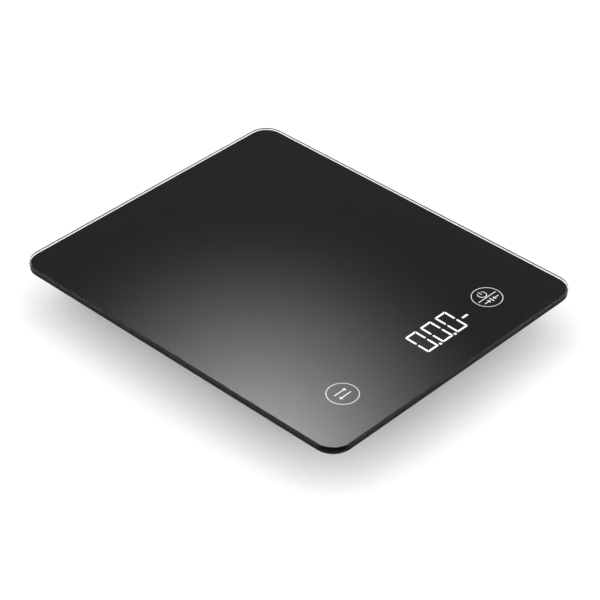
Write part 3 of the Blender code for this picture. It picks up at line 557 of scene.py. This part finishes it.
def build_key_marks():
    # The marks' white ink carries a faint painted glow.
    ink_painted_glow = white_ink_painted_glow()
    for name, centre in (("key_ring_unit", UNIT_KEY), ("key_ring_tare", TARE_KEY)):
        build_piece(
            name,
            lambda bm, spot=centre: add_ring(bm, spot, KEY_RADIUS, KEY_LINE),
            ink_painted_glow,
        )

    def draw_swap(bm):
        """Two arrows, one each way, for changing from one unit to the other."""
        for way in (-1, 1):
            tail = UNIT_KEY + Vector((-way * SWAP_REACH / 2, way * SWAP_APART / 2))
            add_arrow(bm, tail, way * SWAP_REACH, ARROW_SHAFT, ARROW_HEAD)

    build_piece("mark_unit", draw_swap, ink_painted_glow)

    def draw_zero_set(bm):
        """Two arrows that meet at a bar, for setting the reading back to nothing."""
        add_bar(bm, TARE_SPOT, TARE_BAR_HALF)
        for way in (-1, 1):
            tail = TARE_SPOT + Vector((way * TARE_TAIL, 0))
            add_arrow(bm, tail, -way * TARE_REACH, ARROW_SHAFT, ARROW_HEAD)

    build_piece("mark_tare", draw_zero_set, ink_painted_glow)

    def draw_divider(bm):
        add_bar(bm, TARE_KEY, DIVIDER_HALF)

    build_piece("mark_divider", draw_divider, ink_painted_glow)

    def draw_power(bm):
        start = math.pi / 2 + POWER_GAP - 2 * math.pi
        end = math.pi / 2 - POWER_GAP
        add_ring(bm, POWER_SPOT, POWER_RADIUS, POWER_LINE, start, end, POWER_STEPS)
        stem = POWER_SPOT + Vector((0, POWER_STEM_HALF.y))
        add_bar(bm, stem, POWER_STEM_HALF)

    build_piece("mark_power", draw_power, ink_painted_glow)


# Lit display


def digit_zero(middle):
    """Outlines of a nought's six bars, mitred at the corners and parted half way up each side."""
    half_x = DIGIT_WIDTH / 2
    half_y = DIGIT_HEIGHT / 2
    bars = []
    for up in (-1, 1):
        bars.append(
            [
                (-half_x + DIGIT_SLIT, up * half_y),
                (half_x - DIGIT_SLIT, up * half_y),
                (half_x - DIGIT_STROKE - DIGIT_SLIT, up * (half_y - DIGIT_STROKE)),
                (-half_x + DIGIT_STROKE + DIGIT_SLIT, up * (half_y - DIGIT_STROKE)),
            ]
        )
        for side in (-1, 1):
            outer = side * half_x
            inner = side * (half_x - DIGIT_STROKE)
            bars.append(
                [
                    (outer, up * (half_y - DIGIT_SLIT)),
                    (outer, up * (DIGIT_GAP + DIGIT_TAPER)),
                    ((outer + inner) / 2, up * DIGIT_GAP),
                    (inner, up * (DIGIT_GAP + DIGIT_TAPER)),
                    (inner, up * (half_y - DIGIT_STROKE - DIGIT_SLIT)),
                ]
            )
    return [[middle + Vector((x + DIGIT_SLANT * y, y)) for x, y in bar] for bar in bars]


def build_display():
    lit = lit_segment()
    for number, x in enumerate(DIGIT_XS, 1):
        middle = Vector((x, DIGIT_Y))

        def draw(bm, spot=middle):
            for bar in digit_zero(spot):
                add_mark(bm, bar)

        build_piece(f"lit_digit_{number}", draw, lit)

    def draw_points(bm):
        for x in POINT_XS:
            add_bar(bm, Vector((x, POINT_Y)), POINT_HALF)

    build_piece("lit_points", draw_points, lit)
    build_piece("lit_unit_bar", lambda bm: add_bar(bm, UNIT_BAR, UNIT_BAR_HALF), lit)


# Camera


def camera_back():
    level = math.cos(CAMERA_ELEVATION)
    return Vector(
        (
            math.sin(CAMERA_AZIMUTH) * level,
            -math.cos(CAMERA_AZIMUTH) * level,
            math.sin(CAMERA_ELEVATION),
        )
    )


def plate_aim():
    return Vector((PLATE_MIDDLE.x, PLATE_MIDDLE.y, plate_high.z)) + AIM


def make_camera():
    data = bpy.data.cameras.new("camera")
    data.lens = LENS
    data.sensor_width = SENSOR
    camera = bpy.data.objects.new("camera", data)
    bpy.context.scene.collection.objects.link(camera)
    camera.location = plate_aim() + camera_back() * CAMERA_DISTANCE
    camera.rotation_euler = camera_back().to_track_quat("Z", "Y").to_euler()
    bpy.context.scene.camera = camera


# Studio


def math_node(nodes, links, operation, first, second):
    """The output of a sum, difference, product or power of two outputs or numbers."""
    node = nodes.new("ShaderNodeMath")
    node.operation = operation
    for socket, value in zip(node.inputs, (first, second)):
        if isinstance(value, (int, float)):
            socket.default_value = value
        else:
            links.new(value, socket)
    return node.outputs[0]


def reflection_switch(nodes, links):
    """1 for a mirror-like reflection, 0 for every other ray, so that the two see their own light."""
    path = nodes.new("ShaderNodeLightPath")
    outside = math_node(nodes, links, "SUBTRACT", 1.0, path.outputs["Is Transmission Ray"])
    return math_node(nodes, links, "MULTIPLY", path.outputs["Is Glossy Ray"], outside)


def sky_ramp(nodes, stops):
    """A ramp over the sine of the elevation, whose grey is 0.5 for a level of nothing."""
    ramp = nodes.new("ShaderNodeValToRGB")
    elements = ramp.color_ramp.elements
    while len(elements) < len(stops):
        elements.new(0.5)
    for element, (position, level) in zip(elements, stops):
        grey = 0.5 + level / (2 * SKY_SCALE)
        element.position = position
        element.color = (grey, grey, grey, 1)
    return ramp


def make_world():
    """Soft light from all round, most of it low and from behind, and dark walls in reflections."""
    world = bpy.data.worlds.new("studio")
    world.use_nodes = True
    bpy.context.scene.world = world
    nodes, links = world.node_tree.nodes, world.node_tree.links
    nodes.clear()
    output = nodes.new("ShaderNodeOutputWorld")

    direction = nodes.new("ShaderNodeTexCoord")
    parts = nodes.new("ShaderNodeSeparateXYZ")
    links.new(direction.outputs["Generated"], parts.inputs[0])
    even = sky_ramp(nodes, SKY_EVEN)
    lean = sky_ramp(nodes, SKY_LEAN)
    links.new(parts.outputs["Z"], even.inputs["Fac"])
    links.new(parts.outputs["Z"], lean.inputs["Fac"])

    towards = nodes.new("ShaderNodeVectorMath")
    towards.operation = "DOT_PRODUCT"
    towards.inputs[1].default_value = LIGHT_SIDE
    links.new(direction.outputs["Generated"], towards.inputs[0])
    leaning = math_node(nodes, links, "SUBTRACT", lean.outputs["Color"], 0.5)
    leaning = math_node(nodes, links, "MULTIPLY", leaning, towards.outputs["Value"])
    level = math_node(nodes, links, "ADD", even.outputs["Color"], leaning)
    level = math_node(nodes, links, "SUBTRACT", level, 0.5)
    level = math_node(nodes, links, "MULTIPLY", level, 2 * SKY_SCALE * SKY_STRENGTH)

    soft = nodes.new("ShaderNodeBackground")
    links.new(level, soft.inputs["Strength"])
    dark = nodes.new("ShaderNodeBackground")
    dark.inputs["Color"].default_value = (1, 1, 1, 1)
    dark.inputs["Strength"].default_value = DARK_WALLS
    seen = nodes.new("ShaderNodeBackground")
    seen.inputs["Color"].default_value = (1, 1, 1, 1)

    path = nodes.new("ShaderNodeLightPath")
    lit = nodes.new("ShaderNodeMixShader")
    links.new(reflection_switch(nodes, links), lit.inputs["Fac"])
    links.new(soft.outputs[0], lit.inputs[1])
    links.new(dark.outputs[0], lit.inputs[2])
    chosen = nodes.new("ShaderNodeMixShader")
    links.new(path.outputs["Is Camera Ray"], chosen.inputs["Fac"])
    links.new(lit.outputs[0], chosen.inputs[1])
    links.new(seen.outputs[0], chosen.inputs[2])
    links.new(chosen.outputs[0], output.inputs["Surface"])


def make_floor():
    """A white sweep, far wider than any view of the object, and clear when seen from below."""
    bm = bmesh.new()
    corners = ((-1, -1), (1, -1), (1, 1), (-1, 1))
    bm.faces.new(
        [bm.verts.new((FLOOR_HALF * x, FLOOR_HALF * y, -FLOOR_DROP)) for x, y in corners]
    )
    mesh = bpy.data.meshes.new("floor")
    bm.to_mesh(mesh)
    bm.free()
    material = bpy.data.materials.new("floor_white")
    material.use_nodes = True
    shader = material.node_tree.nodes["Principled BSDF"]
    shader.inputs["Base Color"].default_value = (0.95, 0.95, 0.95, 1)
    shader.inputs["Emission Color"].default_value = (1, 1, 1, 1)
    shader.inputs["Emission Strength"].default_value = FLOOR_GLOW
    shader.inputs["Roughness"].default_value = 1.0
    shader.inputs["Specular IOR Level"].default_value = 0.0
    nodes, links = material.node_tree.nodes, material.node_tree.links
    black = nodes.new("ShaderNodeBsdfDiffuse")
    black.inputs["Color"].default_value = (0, 0, 0, 1)
    mix = nodes.new("ShaderNodeMixShader")
    dimmed = math_node(nodes, links, "MULTIPLY", reflection_switch(nodes, links), 1 - FLOOR_KEPT)
    links.new(dimmed, mix.inputs["Fac"])
    links.new(shader.outputs[0], mix.inputs[1])
    links.new(black.outputs[0], mix.inputs[2])
    side = nodes.new("ShaderNodeNewGeometry")
    clear = nodes.new("ShaderNodeBsdfTransparent")
    sided = nodes.new("ShaderNodeMixShader")
    links.new(side.outputs["Backfacing"], sided.inputs["Fac"])
    links.new(mix.outputs[0], sided.inputs[1])
    links.new(clear.outputs[0], sided.inputs[2])
    links.new(sided.outputs[0], nodes["Material Output"].inputs["Surface"])
    mesh.materials.append(material)
    floor = bpy.data.objects.new("floor", mesh)
    bpy.context.scene.collection.objects.link(floor)


class Card:
    """A round card in the studio, facing up from the origin and seen only in reflections."""

    def __init__(self, name, radius):
        self.name = name
        self.radius = radius
        self.material = bpy.data.materials.new(name)
        self.material.use_nodes = True
        self.nodes = self.material.node_tree.nodes
        self.links = self.material.node_tree.links
        self.nodes.clear()
        coordinates = self.nodes.new("ShaderNodeTexCoord")
        length = self.nodes.new("ShaderNodeVectorMath")
        length.operation = "LENGTH"
        self.links.new(coordinates.outputs["Object"], length.inputs[0])
        self.distance = length.outputs["Value"]

    def fade(self, rim, full, interpolation="LINEAR"):
        """0 at the distance rim from the middle, rising to 1 at the distance full."""
        node = self.nodes.new("ShaderNodeMapRange")
        node.interpolation_type = interpolation
        node.inputs["From Min"].default_value = rim
        node.inputs["From Max"].default_value = full
        self.links.new(self.distance, node.inputs["Value"])
        return node.outputs["Result"]

    def place(self, shader, location, facing):
        """Put the card, with that shader, at location and turn it towards facing."""
        output = self.nodes.new("ShaderNodeOutputMaterial")
        self.links.new(shader, output.inputs["Surface"])
        bm = bmesh.new()
        ring = arc(Vector((0, 0)), self.radius, 0, 2 * math.pi, RING_STEPS)[:-1]
        bm.faces.new([bm.verts.new((p.x, p.y, 0)) for p in ring])
        mesh = bpy.data.meshes.new(self.name)
        bm.to_mesh(mesh)
        bm.free()
        mesh.materials.append(self.material)
        card = bpy.data.objects.new(self.name, mesh)
        card.location = location
        card.rotation_euler = facing.to_track_quat("Z", "Y").to_euler()
        for ray in ("camera", "diffuse", "transmission", "shadow"):
            setattr(card, f"visible_{ray}", False)
        bpy.context.scene.collection.objects.link(card)


def dark_card(name, location, radius):
    """A black card that lies flat and is clear at its rim."""
    card = Card(name, radius)
    clear = card.nodes.new("ShaderNodeBsdfTransparent")
    black = card.nodes.new("ShaderNodeBsdfDiffuse")
    black.inputs["Color"].default_value = DARK_CARD_COLOUR
    mix = card.nodes.new("ShaderNodeMixShader")
    card.links.new(card.fade(radius, radius / 2, "SMOOTHSTEP"), mix.inputs["Fac"])
    card.links.new(clear.outputs[0], mix.inputs[1])
    card.links.new(black.outputs[0], mix.inputs[2])
    card.place(mix.outputs[0], location, Vector((0, 0, 1)))


def glow_card(name, location, facing, radius, strength, falloff):
    """A softbox that is brightest in its middle and as dark as the walls at its rim."""
    card = Card(name, radius)
    level = math_node(card.nodes, card.links, "POWER", card.fade(radius, 0.0), falloff)
    level = math_node(card.nodes, card.links, "MULTIPLY", level, strength)
    level = math_node(card.nodes, card.links, "ADD", level, DARK_WALLS)
    emission = card.nodes.new("ShaderNodeEmission")
    card.links.new(level, emission.inputs["Strength"])
    card.place(emission.outputs[0], location, facing)


def make_cards():
    """The softbox whose glow lies across the near corner of the face, and three for the rim."""
    back = camera_back()
    right = Vector((0, 0, 1)).cross(back).normalized()
    up = back.cross(right)
    flip = Vector((1, 1, -1))
    camera_place = plate_aim() + back * CAMERA_DISTANCE
    mirrored = Vector((camera_place.x, camera_place.y, 2 * plate_high.z - camera_place.z))
    ahead = -back * flip
    centre = mirrored + ahead * FACE_CARD_DEPTH
    centre += right * FACE_CARD_OFFSET[0] + up * flip * FACE_CARD_OFFSET[1]
    glow_card(
        "face_card", centre, -ahead, FACE_CARD_RADIUS, FACE_CARD_STRENGTH, FACE_CARD_FALLOFF
    )
    for name, direction in RIM_CARD_DIRECTIONS.items():
        spot = plate_aim() + direction.normalized() * RIM_CARD_DISTANCE
        glow_card(
            name, spot, -direction, RIM_CARD_RADIUS, RIM_CARD_STRENGTH, RIM_CARD_FALLOFF
        )
    corner = Vector((plate_low.x, plate_low.y, 0)) + CORNER_CARD_OFFSET
    dark_card("corner_card", corner, CORNER_CARD_RADIUS)


bpy.context.scene.view_settings.view_transform = "Standard"
paint_cad_nodes()
build_plate()
build_key_marks()
build_display()
make_camera()
make_world()
make_floor()
make_cards()
